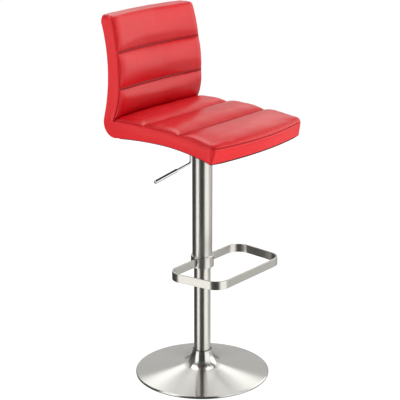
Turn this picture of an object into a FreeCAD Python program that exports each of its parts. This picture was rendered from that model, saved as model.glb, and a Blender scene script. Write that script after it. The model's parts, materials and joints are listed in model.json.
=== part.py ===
"""Adjustable swivel stool with a gas lift, a footrest ring and a one-piece padded seat and back.

Frame: millimetres, +Z up, origin on the floor on the column's axis. The sitter faces -Y, and the
lift lever points to -X. The stool stands at its full height, with the gas lift fully extended.
"""
import FreeCAD, Part
import math
import os

Vector = FreeCAD.Vector
PARTS_DIR = "parts"

# ---- driving dimensions -------------------------------------------------------------------
LIFT_TRAVEL = 215.0          # how far the seat comes down from the modelled height
RUNNING_FIT = 0.05           # radial clearance of guided parts

# trumpet base
BASE_RADIUS = 204.5
SHEET = 1.2                  # spun steel sheet
RING_FLOOR = 2.5             # rubber under the rim
NECK_RADIUS = 30.0
NECK_TOP = 75.0
NECK_CURVE = 46.0            # radius of the flare under the neck
NECK_CURVE_TOP = 74.5
FLARE_SLOPE = 13.0           # degrees, where the neck flows into the dish
RIM_SLOPE = 6.3              # degrees, where the dish meets the rim
RIM_ROUND = 4.0
RING_LIP = 2.0               # how far the rubber's lip stands up inside the rim
WEIGHT_RADIUS = 195.0
WEIGHT_BORE = 22.0
WEIGHT_EDGE_TOP = 5.4
WEIGHT_CROWN_RADIUS = 70.0
WEIGHT_TOP = 20.0
FOOT_THICK = 6.0
FOOT_RADIUS = 54.0
FOOT_BOLT_CIRCLE = 41.0
BOLT_RADIUS = 4.0            # M8 bolts and screws
BOLT_CLEARANCE = 0.2
BOLT_HEAD_FLATS = 13.0
BOLT_HEAD_HEIGHT = 5.3
FOOT_BOLT_TIP = 10.0

# column and sleeve
COLUMN_RADIUS = 25.0
COLUMN_WALL = 2.0
COLUMN_TOP = 470.0
NECK_RING_BOTTOM = 64.0
NECK_RING_DEPTH = 1.5        # under the neck's top edge
BUSH_LENGTH = 90.0
BUSH_FLANGE = 3.0
SLEEVE_RADIUS = 30.0
SLEEVE_WALL = 1.2
SLEEVE_BOTTOM = 349.0
SLEEVE_GUIDE_TOP = 375.0
HOUSING_BOTTOM = 716.0       # the sleeve ends here, under the mechanism

# gas lift
ROD_RADIUS = 5.0
ROD_BOTTOM = 8.0
CYLINDER_RADIUS = 14.0
CYLINDER_BORE = 12.0         # radius
CYLINDER_LOWEST = 55.0       # the cylinder's lower end with the seat fully down
CYLINDER_BOTTOM = CYLINDER_LOWEST + LIFT_TRAVEL
CYLINDER_HEAD = 8.0          # solid wall between the bore and the taper
ROD_GUIDE_LENGTH = 15.0
TAPER_BOTTOM = 703.0
TAPER_TOP = 748.0
TAPER_TOP_RADIUS = 12.8
PISTON_BOTTOM = CYLINDER_BOTTOM + ROD_GUIDE_LENGTH + 5.0
PISTON_LENGTH = 16.0
PIN_RADIUS = 3.0
PIN_HEAD_RADIUS = 4.5
PIN_STAND = 3.0              # how far the pin's head stands above the taper
RACE = 2.0                   # thickness of the thrust bearing's rings
RACE_RADIUS = 14.0
BALL_COUNT = 12
BALL_CIRCLE = 9.75
BALL_RADIUS = 1.9
BALL_GAP = 0.05
BUMPER_RADIUS = 12.0
BUMPER_LENGTH = 12.0
WASHER_RADIUS = 11.0
WASHER_THICK = 2.4
CLIP_RADIUS = 8.0
CLIP_THICK = 1.5
CLIP_GAP = 3.0

# footrest
COLLAR_RADIUS = 34.5
COLLAR_BOTTOM = 345.0
COLLAR_TOP = 380.0
REST_TOP = 375.0
REST_HEIGHT = 25.5
REST_STRIP = 5.0
REST_REAR_Y = 2.0
REST_FRONT_Y = -185.5
REST_REAR_HALF = 175.0
REST_FRONT_HALF = 155.5
REST_CORNER = 45.0
REST_EDGE_ROUND = 0.8
SET_SCREW_RADIUS = 2.5
SET_SCREW_HEIGHT = 17.0      # above the collar's lower end
SET_SCREW_ANGLES = (60.0, 120.0)
SET_SCREW_DEPTH = 1.0        # under the collar's outer face
COLLAR_EDGE_ROUND = 1.0

# lift lever
LEVER_RADIUS = 3.25
LEVER_INNER_X = 10.0
LEVER_PIN_RADIUS = 1.5
LEVER_PIVOT_X = -36.0
LEVER_Z = 755.6
LEVER_DROP_X = -55.0
LEVER_ELBOW_Z = 678.4
LEVER_END_X = -216.5
LEVER_END_Z = 656.0
LEVER_BEND = 9.0
GRIP_RADIUS = 5.3
GRIP_LENGTH = 98.0
GRIP_ROUND = 2.6
GRIP_END_WALL = 4.0

# seat mechanism
PLATE_LENGTH = 150.0         # along Y
PLATE_WIDTH = 170.0          # along X
PLATE_BOTTOM = 768.0
PLATE_THICK = 3.0
HOUSING_HALF_X = 48.0
HOUSING_HALF_Y = 32.0
HOUSING_WALL = 2.5
HOUSING_CORNER = 8.0
LEVER_SLOT_HALF = 5.0
LEVER_SLOT_DEPTH = 8.0       # under the lever's axis
PLATE_CORNER = 14.0
HUB_RADIUS = 22.0
HUB_TOP_DEPTH = 3.0          # under the taper's top
SEAT_SCREW_X = 68.0
SEAT_SCREW_Y = 58.0
SEAT_SCREW_LENGTH = 10.0
TEE_NUT_RADIUS = 5.5
TEE_NUT_LENGTH = 7.5

# upholstered seat and back, as seen in side view
FRONT_LINE_START = (184.5, 1097.0)
FRONT_LINE_HEADING = -107.5
FRONT_LINE_CURVES = [(658.0, 17.5), (225.0, 25.0)]      # radius, turn in degrees
SEAT_LINE_HEADING = 177.6
SEAT_LINE_CURVES = [(2000.0, 10.9)]
REAR_LINE_START = (222.0, 1085.0)
REAR_LINE_HEADING = -109.4
REAR_LINE_CURVES = [(475.0, 34.3), (41.0, -111.9), (1414.0, 7.0), (745.0, 15.3)]
TOP_HEIGHT = 1105.0
FRONT_UNDERCUT = 14.0        # how far the front edge's foot stands back
CREASE_RUN = (-100.0, 58.0)  # from the junction, the way the pads part in front of it
SPLIT_FOOT = (150.0, 740.0)  # the back's pad ends here, on the underside
BAND = 6.0                   # side and front bands
SKIN_PAD = 6.0               # pad behind and under the plywood
PLYWOOD = 12.0
PLYWOOD_TOP = 1085.0
LEAD = 60.0                  # straight lead past an outline's end
CREST_SHIFT = 2.0            # the top edge's crown, behind its middle
POCKET_GAP = 1.0             # between the mounting plate and the shell
FRONT_HALF_WIDTH = 215.0
JUNCTION_HALF_WIDTH = 196.0
TOP_HALF_WIDTH = 185.5
SEAT_FRONT_Y = -197.0        # front corners, at the foot of the front edge
SEAT_FRONT_FOOT_Z = 737.0
SEAT_FRONT_BOW = 21.0
SEAT_REAR_Y = 178.0
SEAT_HEIGHT = 804.0          # seat seam at the junction with the back
BACK_BOW_RADIUS = 1000.0     # the back is hollow in plan
BACK_BOW = 18.0              # the middle stands this much further back than the sides
SWEEP_HALF_TURN = 27.0


# ---- helpers ------------------------------------------------------------------------------
def export(name, shape):
    """Write one sub-part, after checking that it is made of sound solids."""
    if not shape.Solids or not shape.isValid():
        raise RuntimeError(name + " is not a sound solid")
    solids = shape.Solids
    result = solids[0] if len(solids) == 1 else Part.makeCompound(solids)
    result.exportStep(os.path.join(PARTS_DIR, name + ".step"))
    print(f"{name:22s} solids {len(solids)}  volume {shape.Volume / 1000:9.2f} cm3")


def disc(radius, low, high, at=(0.0, 0.0)):
    return Part.makeCylinder(radius, high - low, Vector(at[0], at[1], low))


def tube(outer, inner, low, high, at=(0.0, 0.0)):
    return disc(outer, low, high, at).cut(disc(inner, low, high, at))


def box(x_range, y_range, z_range):
    size = [span[1] - span[0] for span in (x_range, y_range, z_range)]
    return Part.makeBox(*size, Vector(x_range[0], y_range[0], z_range[0]))


def turned(edges):
    """Solid of revolution about Z from edges in the XZ plane."""
    face = Part.Face(Part.Wire(edges))
    return face.revolve(Vector(0, 0, 0), Vector(0, 0, 1), 360)


def turned_polygon(points):
    corners = [Vector(r, 0, z) for r, z in points]
    return turned(Part.makePolygon(corners + corners[:1]).Edges)


def around(count, radius, start=0.0):
    """Points of a bolt circle."""
    step = 2 * math.pi / count
    return [(radius * math.cos(start + k * step), radius * math.sin(start + k * step))
            for k in range(count)]


def side_point(y, z):
    return Vector(0, y, z)


def arc_chain(start, heading, curves, inset=0.0):
    """Edges of tangent arcs in the YZ plane, moved to the right of the way they run by inset.

    Each curve is (radius, turn in degrees); a positive turn bends to the left.
    """
    y, z = start
    angle = math.radians(heading)
    y += inset * math.sin(angle)
    z -= inset * math.cos(angle)
    edges = []
    for radius, turn in curves:
        side = 1.0 if turn > 0 else -1.0
        reach = side * radius + inset
        centre_y = y - reach * math.sin(angle)
        centre_z = z + reach * math.cos(angle)
        points = [(y, z)]
        for part in (0.5, 1.0):
            swept = angle + math.radians(turn) * part
            points.append((centre_y + reach * math.sin(swept), centre_z - reach * math.cos(swept)))
        edges.append(Part.Arc(*[side_point(*p) for p in points]).toShape())
        y, z = points[-1]
        angle += math.radians(turn)
    return edges


def line(a, b):
    return Part.LineSegment(a, b).toShape()


def ordered_ends(edges):
    wire = Part.Wire(Part.__sortEdges__(edges))
    ends = [v.Point for v in wire.OrderedVertexes]
    return ends[0], ends[-1]


# ---- base ---------------------------------------------------------------------------------
def dish_radius():
    """Radius of the dish's long arc, which runs from the neck's flare to the rim."""
    flare = math.radians(FLARE_SLOPE)
    rim = math.radians(RIM_SLOPE)
    flare_r = NECK_RADIUS + NECK_CURVE - NECK_CURVE * math.sin(flare)
    rim_r = BASE_RADIUS - RIM_ROUND + RIM_ROUND * math.sin(rim)
    return (rim_r - flare_r) / (math.sin(flare) - math.sin(rim))


def cover_line(depth):
    """Meridian of the cover, depth below its outer face, from the neck's top to the rim's foot."""
    flare = math.radians(FLARE_SLOPE)
    rim = math.radians(RIM_SLOPE)
    big = dish_radius()

    def arc(centre, radius, angles):
        points = [Vector(centre[0] + radius * math.sin(a), 0, centre[1] + radius * math.cos(a))
                  for a in angles]
        return points, Part.Arc(*points).toShape()

    neck_centre = (NECK_RADIUS + NECK_CURVE, NECK_CURVE_TOP)
    neck_angles = [-math.pi / 2, -math.pi / 2 - (math.pi / 2 - flare) / 2, -math.pi + flare]
    neck_points, neck = arc(neck_centre, NECK_CURVE + depth, neck_angles)

    flare_r = neck_centre[0] - NECK_CURVE * math.sin(flare)
    flare_z = neck_centre[1] - NECK_CURVE * math.cos(flare)
    dish_centre = (flare_r + big * math.sin(flare), flare_z + big * math.cos(flare))
    dish_angles = [math.pi + flare, math.pi + (flare + rim) / 2, math.pi + rim]
    dish_points, dish = arc(dish_centre, big + depth, dish_angles)

    rim_r = dish_centre[0] - big * math.sin(rim)
    rim_z = dish_centre[1] - big * math.cos(rim)
    round_centre = (rim_r - RIM_ROUND * math.sin(rim), rim_z - RIM_ROUND * math.cos(rim))
    round_angles = [rim, (rim + math.pi / 2) / 2, math.pi / 2]
    round_points, rounding = arc(round_centre, RIM_ROUND - depth, round_angles)

    top = Vector(NECK_RADIUS - depth, 0, NECK_TOP)
    foot = Vector(BASE_RADIUS - depth, 0, RING_FLOOR)
    edges = [line(top, neck_points[0]), neck, dish, rounding, line(round_points[2], foot)]
    return edges, top, foot


def base_cover():
    outer, outer_top, outer_foot = cover_line(0.0)
    inner, inner_top, inner_foot = cover_line(SHEET)
    edges = outer + inner + [line(outer_top, inner_top), line(outer_foot, inner_foot)]
    return turned(Part.__sortEdges__(edges))


def floor_ring():
    flat = tube(BASE_RADIUS - 0.5, WEIGHT_RADIUS - 13, 0, RING_FLOOR)
    lip = tube(BASE_RADIUS - 3.5, WEIGHT_RADIUS + 1, RING_FLOOR, RING_FLOOR + RING_LIP)
    return flat.fuse(lip)


def foot_bolt_places():
    return around(4, FOOT_BOLT_CIRCLE, math.radians(45))


def base_weight():
    body = turned_polygon([(WEIGHT_BORE, RING_FLOOR), (WEIGHT_RADIUS, RING_FLOOR),
                           (WEIGHT_RADIUS, WEIGHT_EDGE_TOP), (WEIGHT_CROWN_RADIUS, WEIGHT_TOP),
                           (WEIGHT_BORE, WEIGHT_TOP)])
    for place in foot_bolt_places():
        body = body.cut(disc(BOLT_RADIUS, FOOT_BOLT_TIP - 2, WEIGHT_TOP, place))
    return body


def column_foot():
    plate = disc(FOOT_RADIUS, WEIGHT_TOP, WEIGHT_TOP + FOOT_THICK)
    plate = plate.cut(disc(ROD_RADIUS + RUNNING_FIT, WEIGHT_TOP, WEIGHT_TOP + FOOT_THICK))
    for place in foot_bolt_places():
        plate = plate.cut(disc(BOLT_RADIUS + BOLT_CLEARANCE, WEIGHT_TOP, WEIGHT_TOP + FOOT_THICK, place))
    return plate


def hexagon(across_flats, low, high, at):
    radius = across_flats / math.sqrt(3)
    corners = [Vector(at[0] + radius * math.cos(k * math.pi / 3),
                      at[1] + radius * math.sin(k * math.pi / 3), low) for k in range(6)]
    face = Part.Face(Part.makePolygon(corners + corners[:1]))
    return face.extrude(Vector(0, 0, high - low))


def column_bolts():
    seat_z = WEIGHT_TOP + FOOT_THICK
    bolts = []
    for place in foot_bolt_places():
        head = hexagon(BOLT_HEAD_FLATS, seat_z, seat_z + BOLT_HEAD_HEIGHT, place)
        bolts.append(head.fuse(disc(BOLT_RADIUS, FOOT_BOLT_TIP, seat_z, place)))
    return Part.makeCompound(bolts)


def column_tube():
    return tube(COLUMN_RADIUS, COLUMN_RADIUS - COLUMN_WALL, WEIGHT_TOP + FOOT_THICK, COLUMN_TOP)


def neck_ring():
    outer = NECK_RADIUS - SHEET - 2 * RUNNING_FIT
    return tube(outer, COLUMN_RADIUS, NECK_RING_BOTTOM, NECK_TOP - NECK_RING_DEPTH)


def guide_bush():
    inner = COLUMN_RADIUS - COLUMN_WALL
    body = disc(inner, COLUMN_TOP - BUSH_LENGTH, COLUMN_TOP)
    flange = disc(COLUMN_RADIUS, COLUMN_TOP, COLUMN_TOP + BUSH_FLANGE)
    bore = disc(CYLINDER_RADIUS + RUNNING_FIT, COLUMN_TOP - BUSH_LENGTH, COLUMN_TOP + BUSH_FLANGE)
    return body.fuse(flange).cut(bore)


# ---- swivel and gas lift ------------------------------------------------------------------
RACE_LOW_Z = WEIGHT_TOP + FOOT_THICK
RACE_HIGH_Z = RACE_LOW_Z + RACE + 2 * BALL_RADIUS + 2 * BALL_GAP


def race_lower():
    return tube(RACE_RADIUS, ROD_RADIUS + 0.5, RACE_LOW_Z, RACE_LOW_Z + RACE)


def race_upper():
    return tube(RACE_RADIUS, ROD_RADIUS, RACE_HIGH_Z, RACE_HIGH_Z + RACE)


def thrust_balls():
    centre_z = RACE_LOW_Z + RACE + BALL_GAP + BALL_RADIUS
    balls = [Part.makeSphere(BALL_RADIUS, Vector(x, y, centre_z))
             for x, y in around(BALL_COUNT, BALL_CIRCLE)]
    return Part.makeCompound(balls)


def bumper():
    low = RACE_HIGH_Z + RACE
    return tube(BUMPER_RADIUS, ROD_RADIUS, low, low + BUMPER_LENGTH)


def piston_rod():
    return disc(ROD_RADIUS, ROD_BOTTOM, PISTON_BOTTOM)


def piston():
    return disc(CYLINDER_BORE - RUNNING_FIT, PISTON_BOTTOM, PISTON_BOTTOM + PISTON_LENGTH)


def rod_washer():
    high = WEIGHT_TOP - 2 * RUNNING_FIT
    return tube(WASHER_RADIUS, ROD_RADIUS, high - WASHER_THICK, high)


def rod_clip():
    high = WEIGHT_TOP - 2 * RUNNING_FIT - WASHER_THICK
    ring = tube(CLIP_RADIUS, ROD_RADIUS, high - CLIP_THICK, high)
    half = CLIP_GAP / 2
    return ring.cut(box((ROD_RADIUS - 1, CLIP_RADIUS + 1), (-half, half), (high - CLIP_THICK, high)))


def gas_cylinder():
    outer = turned_polygon([(0, CYLINDER_BOTTOM), (CYLINDER_RADIUS, CYLINDER_BOTTOM),
                            (CYLINDER_RADIUS, TAPER_BOTTOM), (TAPER_TOP_RADIUS, TAPER_TOP),
                            (0, TAPER_TOP)])
    bore_top = TAPER_BOTTOM - CYLINDER_HEAD
    bore = disc(CYLINDER_BORE, CYLINDER_BOTTOM, bore_top)
    pin_hole = disc(PIN_RADIUS + RUNNING_FIT, bore_top, TAPER_TOP)
    return outer.cut(bore).cut(pin_hole)


def cylinder_guide():
    return tube(CYLINDER_BORE, ROD_RADIUS + RUNNING_FIT, CYLINDER_BOTTOM,
                CYLINDER_BOTTOM + ROD_GUIDE_LENGTH)


def release_pin():
    head_low = TAPER_TOP + PIN_STAND
    stem = disc(PIN_RADIUS, TAPER_BOTTOM - CYLINDER_HEAD - 3, head_low)
    return stem.fuse(disc(PIN_HEAD_RADIUS, head_low, head_low + 1))


# ---- sleeve and footrest ------------------------------------------------------------------
def sleeve_tube():
    return tube(SLEEVE_RADIUS, SLEEVE_RADIUS - SLEEVE_WALL, SLEEVE_BOTTOM, HOUSING_BOTTOM)


def sleeve_guide():
    return tube(SLEEVE_RADIUS - SLEEVE_WALL, COLUMN_RADIUS + RUNNING_FIT,
                COLLAR_BOTTOM, SLEEVE_GUIDE_TOP)


def set_screw_holes(length, low):
    """Cylinders on the collar's two screw axes, behind the column."""
    holes = []
    for degrees in SET_SCREW_ANGLES:
        way = Vector(math.cos(math.radians(degrees)), math.sin(math.radians(degrees)), 0)
        start = way * low + Vector(0, 0, COLLAR_BOTTOM + SET_SCREW_HEIGHT)
        holes.append(Part.makeCylinder(SET_SCREW_RADIUS, length, start, way))
    return holes


def footrest_collar():
    ring = tube(COLLAR_RADIUS, SLEEVE_RADIUS, COLLAR_BOTTOM, COLLAR_TOP)
    ring = ring.fuse(tube(SLEEVE_RADIUS, SLEEVE_RADIUS - SLEEVE_WALL, COLLAR_BOTTOM, SLEEVE_BOTTOM))
    ring = ring.removeSplitter()
    rounding = [e for e in ring.Edges if abs(e.BoundBox.XMax - COLLAR_RADIUS) < 0.01
                and e.BoundBox.ZLength < 0.01]
    ring = ring.makeFillet(COLLAR_EDGE_ROUND, rounding)
    for hole in set_screw_holes(8.0, SLEEVE_RADIUS - 1):
        ring = ring.cut(hole)
    return ring


def collar_screws():
    length = COLLAR_RADIUS - SET_SCREW_DEPTH - SLEEVE_RADIUS
    around_sleeve = disc(SLEEVE_RADIUS, COLLAR_BOTTOM, COLLAR_TOP)
    screws = [hole.cut(around_sleeve) for hole in set_screw_holes(length + 1.0, SLEEVE_RADIUS - 1)]
    return Part.makeCompound(screws)


def footrest_bar():
    """One flat strip bent into a rounded ring that narrows a little to the front."""
    low = REST_TOP - REST_HEIGHT
    corners = [(-REST_REAR_HALF, REST_REAR_Y), (REST_REAR_HALF, REST_REAR_Y),
               (REST_FRONT_HALF, REST_FRONT_Y), (-REST_FRONT_HALF, REST_FRONT_Y)]
    points = [Vector(x, y, low) for x, y in corners]
    plate = Part.Face(Part.makePolygon(points + points[:1])).extrude(Vector(0, 0, REST_HEIGHT))
    upright = [e for e in plate.Edges if e.BoundBox.ZLength > 1]
    plate = plate.makeFillet(REST_CORNER, upright)
    bottom = [f for f in plate.Faces if f.BoundBox.ZLength < 0.01
              and abs(f.BoundBox.ZMin - low) < 0.01][0]
    inside = Part.Face(bottom.OuterWire.makeOffset2D(-REST_STRIP)).extrude(Vector(0, 0, REST_HEIGHT))
    ring = plate.cut(inside)
    outlines = [e for e in ring.Edges if e.BoundBox.ZLength < 0.01]
    ring = ring.makeFillet(REST_EDGE_ROUND, outlines)
    return ring.cut(disc(COLLAR_RADIUS, low - 1, REST_TOP + 1))


# ---- lift lever ---------------------------------------------------------------------------
def bent_rod(points, radius, bend):
    """Round rod along straight runs joined by arcs."""
    path = []
    here = points[0]
    for k in range(1, len(points) - 1):
        before = (points[k - 1] - points[k]).normalize()
        after = (points[k + 1] - points[k]).normalize()
        half = before.getAngle(after) / 2
        setback = bend / math.tan(half)
        centre = points[k] + (before + after).normalize() * (bend / math.sin(half))
        middle = centre + (points[k] - centre).normalize() * bend
        first = points[k] + before * setback
        last = points[k] + after * setback
        path.append(line(here, first))
        path.append(Part.Arc(first, middle, last).toShape())
        here = last
    path.append(line(here, points[-1]))
    start_way = (points[1] - points[0]).normalize()
    profile = Part.Wire(Part.makeCircle(radius, points[0], start_way))
    return Part.Wire(path).makePipeShell([profile], True, True)


def lever_points():
    return [Vector(LEVER_INNER_X, 0, LEVER_Z), Vector(LEVER_DROP_X, 0, LEVER_Z),
            Vector(LEVER_DROP_X, 0, LEVER_ELBOW_Z), Vector(LEVER_END_X, 0, LEVER_END_Z)]


def grip_axis():
    elbow, end = lever_points()[2:]
    way = (end - elbow).normalize()
    return end - way * GRIP_LENGTH, way


def lever_rod():
    points = lever_points()
    way = grip_axis()[1]
    points[3] = points[3] - way * GRIP_END_WALL
    rod = bent_rod(points, LEVER_RADIUS, LEVER_BEND)
    start = Vector(LEVER_PIVOT_X, -HOUSING_HALF_Y, LEVER_Z)
    pivot_hole = Part.makeCylinder(LEVER_PIN_RADIUS + RUNNING_FIT, 2 * HOUSING_HALF_Y, start,
                                   Vector(0, 1, 0))
    return rod.cut(pivot_hole)


def lever_grip():
    start, way = grip_axis()
    body = Part.makeCylinder(GRIP_RADIUS, GRIP_LENGTH, start, way)
    body = body.makeFillet(GRIP_ROUND, [e for e in body.Edges if len(e.Vertexes) == 1
                                        and (e.CenterOfMass - start).Length > GRIP_LENGTH - 1])
    return body.cut(Part.makeCylinder(LEVER_RADIUS, GRIP_LENGTH - GRIP_END_WALL, start, way))


def lever_pin():
    start = Vector(LEVER_PIVOT_X, -HOUSING_HALF_Y, LEVER_Z)
    return Part.makeCylinder(LEVER_PIN_RADIUS, 2 * HOUSING_HALF_Y, start, Vector(0, 1, 0))


# ---- seat mechanism -----------------------------------------------------------------------
def seat_screw_places():
    return [(x, y) for x in (-SEAT_SCREW_X, SEAT_SCREW_X) for y in (-SEAT_SCREW_Y, SEAT_SCREW_Y)]


def seat_plate():
    half_x = PLATE_WIDTH / 2
    half_y = PLATE_LENGTH / 2
    plate = box((-half_x, half_x), (-half_y, half_y), (PLATE_BOTTOM, PLATE_BOTTOM + PLATE_THICK))
    corners = [e for e in plate.Edges if abs(e.BoundBox.ZLength - PLATE_THICK) < 0.01]
    plate = plate.makeFillet(PLATE_CORNER, corners)
    hole = BOLT_RADIUS + BOLT_CLEARANCE
    for place in seat_screw_places():
        plate = plate.cut(disc(hole, PLATE_BOTTOM, PLATE_BOTTOM + PLATE_THICK, place))
    return plate


def mechanism_housing():
    """Pressed box, open to the plate above it, with a slot for the lever on its -X side."""
    x, y, wall = HOUSING_HALF_X, HOUSING_HALF_Y, HOUSING_WALL
    outer = box((-x, x), (-y, y), (HOUSING_BOTTOM, PLATE_BOTTOM))
    outer = outer.makeFillet(HOUSING_CORNER, [e for e in outer.Edges if e.BoundBox.ZLength > 10])
    inner = box((-x + wall, x - wall), (-y + wall, y - wall), (HOUSING_BOTTOM + wall, PLATE_BOTTOM))
    inner = inner.makeFillet(HOUSING_CORNER - wall,
                             [e for e in inner.Edges if e.BoundBox.ZLength > 10])
    slot = box((-x - 1, -x + wall + 1), (-LEVER_SLOT_HALF, LEVER_SLOT_HALF),
               (LEVER_Z - LEVER_SLOT_DEPTH, PLATE_BOTTOM))
    pin_hole = Part.makeCylinder(LEVER_PIN_RADIUS, 2 * y + 2, Vector(LEVER_PIVOT_X, -y - 1, LEVER_Z),
                                 Vector(0, 1, 0))
    hub_hole = disc(HUB_RADIUS, HOUSING_BOTTOM, HOUSING_BOTTOM + wall)
    return outer.cut(inner).cut(slot).cut(pin_hole).cut(hub_hole)


def mechanism_hub():
    top = TAPER_TOP - HUB_TOP_DEPTH
    narrowing = (CYLINDER_RADIUS - TAPER_TOP_RADIUS) / (TAPER_TOP - TAPER_BOTTOM)
    top_radius = CYLINDER_RADIUS - narrowing * (top - TAPER_BOTTOM)
    return turned_polygon([(CYLINDER_RADIUS, TAPER_BOTTOM), (HUB_RADIUS, TAPER_BOTTOM),
                           (HUB_RADIUS, top), (top_radius, top)])


# ---- upholstered seat and back ------------------------------------------------------------
def quad(points):
    corners = [side_point(y, z) for y, z in points]
    return Part.Face(Part.makePolygon(corners + corners[:1]))


def heading_way(degrees):
    angle = math.radians(degrees)
    return side_point(math.cos(angle), math.sin(angle))


def rear_line(inset):
    """Rear and lower line of the side view, with straight leads past its two ends."""
    last_heading = REAR_LINE_HEADING + sum(turn for _, turn in REAR_LINE_CURVES)
    chain = arc_chain(REAR_LINE_START, REAR_LINE_HEADING, REAR_LINE_CURVES, inset)
    angle = math.radians(REAR_LINE_HEADING)
    head = side_point(REAR_LINE_START[0] + inset * math.sin(angle),
                      REAR_LINE_START[1] - inset * math.cos(angle))
    tail = min((v.Point for v in chain[-1].Vertexes), key=lambda p: p.y)
    before = head - heading_way(REAR_LINE_HEADING) * LEAD
    after = tail + heading_way(last_heading) * LEAD
    return before, head, chain, tail, after


def side_faces():
    """Side outline of seat and back and its layers, as faces at x = 0, and the seat's rear corner.

    The seat runs on forward past its front edge, which is cut in plan later.
    """
    front = arc_chain(FRONT_LINE_START, FRONT_LINE_HEADING, FRONT_LINE_CURVES)
    front_top, junction = sorted(ordered_ends(front), key=lambda p: -p.z)
    seat = arc_chain((junction.y, junction.z), SEAT_LINE_HEADING, SEAT_LINE_CURVES)
    seat_end = min((v.Point for v in seat[0].Vertexes), key=lambda p: p.y)
    seat_after = seat_end + heading_way(SEAT_LINE_HEADING + SEAT_LINE_CURVES[0][1]) * LEAD
    rear_top, rear, tail, after = rear_line(0.0)[1:]
    crest = side_point((front_top.y + rear_top.y) / 2 + CREST_SHIFT, TOP_HEIGHT)
    top = Part.Arc(front_top, crest, rear_top).toShape()
    ends = [line(seat_end, seat_after), line(tail, after), line(seat_after, after)]
    outline = Part.Face(Part.Wire(Part.__sortEdges__(front + seat + rear + [top] + ends)))

    def strip(near, far):
        """Layer between two insets from the rear and lower line."""
        edges = []
        caps = []
        for inset in (near, far):
            before, head, chain, tail, after = rear_line(inset)
            edges += [line(before, head)] + chain + [line(tail, after)]
            caps.append((before, after))
        edges += [line(caps[0][0], caps[1][0]), line(caps[0][1], caps[1][1])]
        return Part.Face(Part.Wire(Part.__sortEdges__(edges)))

    skin = outline.common(strip(0.0, SKIN_PAD))
    plywood = outline.common(strip(SKIN_PAD, SKIN_PAD + PLYWOOD))
    plywood = plywood.cut(quad([(0, PLYWOOD_TOP), (400, PLYWOOD_TOP), (400, 1200), (0, 1200)]))
    cushion = outline.cut(skin).cut(plywood)
    return outline, skin, plywood, cushion, junction


def seat_half_width(y):
    slope = (FRONT_HALF_WIDTH - JUNCTION_HALF_WIDTH) / (SEAT_REAR_Y - SEAT_FRONT_Y)
    return FRONT_HALF_WIDTH - slope * (y - SEAT_FRONT_Y)


def back_half_width(z):
    slope = (JUNCTION_HALF_WIDTH - TOP_HALF_WIDTH) / (TOP_HEIGHT - SEAT_HEIGHT)
    return JUNCTION_HALF_WIDTH + slope * (SEAT_HEIGHT - z)


def seat_slab(outer_inset, inner_inset=None):
    """Upright block within the seat's tapered sides, or a strip along its -X side."""
    low, high, front, rear = 690.0, 900.0, -300.0, 300.0
    near = seat_half_width(front)
    far = seat_half_width(rear)
    if inner_inset is None:
        inner = [(far - outer_inset, rear), (near - outer_inset, front)]
    else:
        inner = [(inner_inset - far, rear), (inner_inset - near, front)]
    outline = [(outer_inset - near, front), (outer_inset - far, rear)] + inner
    corners = [Vector(x, y, low) for x, y in outline]
    return Part.Face(Part.makePolygon(corners + corners[:1])).extrude(Vector(0, 0, high - low))


def back_slab(outer_inset, inner_inset=None):
    """Block within the back's tapered sides in front view, or a strip along its -X side."""
    low, high, depth = 690.0, TOP_HEIGHT + 10.0, 350.0
    near = back_half_width(low)
    far = back_half_width(high)
    if inner_inset is None:
        inner = [(far - outer_inset, high), (near - outer_inset, low)]
    else:
        inner = [(inner_inset - far, high), (inner_inset - near, low)]
    outline = [(outer_inset - near, low), (outer_inset - far, high)] + inner
    corners = [Vector(x, 0, z) for x, z in outline]
    return Part.Face(Part.makePolygon(corners + corners[:1])).extrude(Vector(0, depth, 0))


def front_slab(front_inset, rear_inset=None):
    """Leaning block behind the seat's bowed front, or a strip along it."""
    lean = FRONT_UNDERCUT / (SEAT_HEIGHT - 20.0 - SEAT_FRONT_FOOT_Z)
    low, high, reach = 690.0, 900.0, 320.0
    bow = SEAT_FRONT_BOW * (reach / FRONT_HALF_WIDTH) ** 2

    def front_arc(inset):
        side_y = SEAT_FRONT_Y + inset - SEAT_FRONT_BOW + bow + (SEAT_FRONT_FOOT_Z - low) * lean
        ends = [Vector(-reach, side_y, low), Vector(reach, side_y, low)]
        return ends, Part.Arc(ends[0], Vector(0, side_y - bow, low), ends[1]).toShape()

    ends, arc = front_arc(front_inset)
    if rear_inset is None:
        rear_ends = [Vector(-reach, 400.0, low), Vector(reach, 400.0, low)]
        rear = line(rear_ends[0], rear_ends[1])
    else:
        rear_ends, rear = front_arc(rear_inset)
    edges = [arc, rear, line(ends[0], rear_ends[0]), line(ends[1], rear_ends[1])]
    face = Part.Face(Part.Wire(Part.__sortEdges__(edges)))
    return face.extrude(Vector(0, -lean * (high - low), high - low))


def swept(face):
    """Seat and back are hollow in plan: their side view turns about a far upright axis."""
    middle = face.translated(Vector(0, BACK_BOW, 0))
    axis_at = Vector(0, REAR_LINE_START[0] - BACK_BOW_RADIUS, 0)
    middle.rotate(axis_at, Vector(0, 0, 1), -SWEEP_HALF_TURN)
    return middle.revolve(axis_at, Vector(0, 0, 1), 2 * SWEEP_HALF_TURN)


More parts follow.
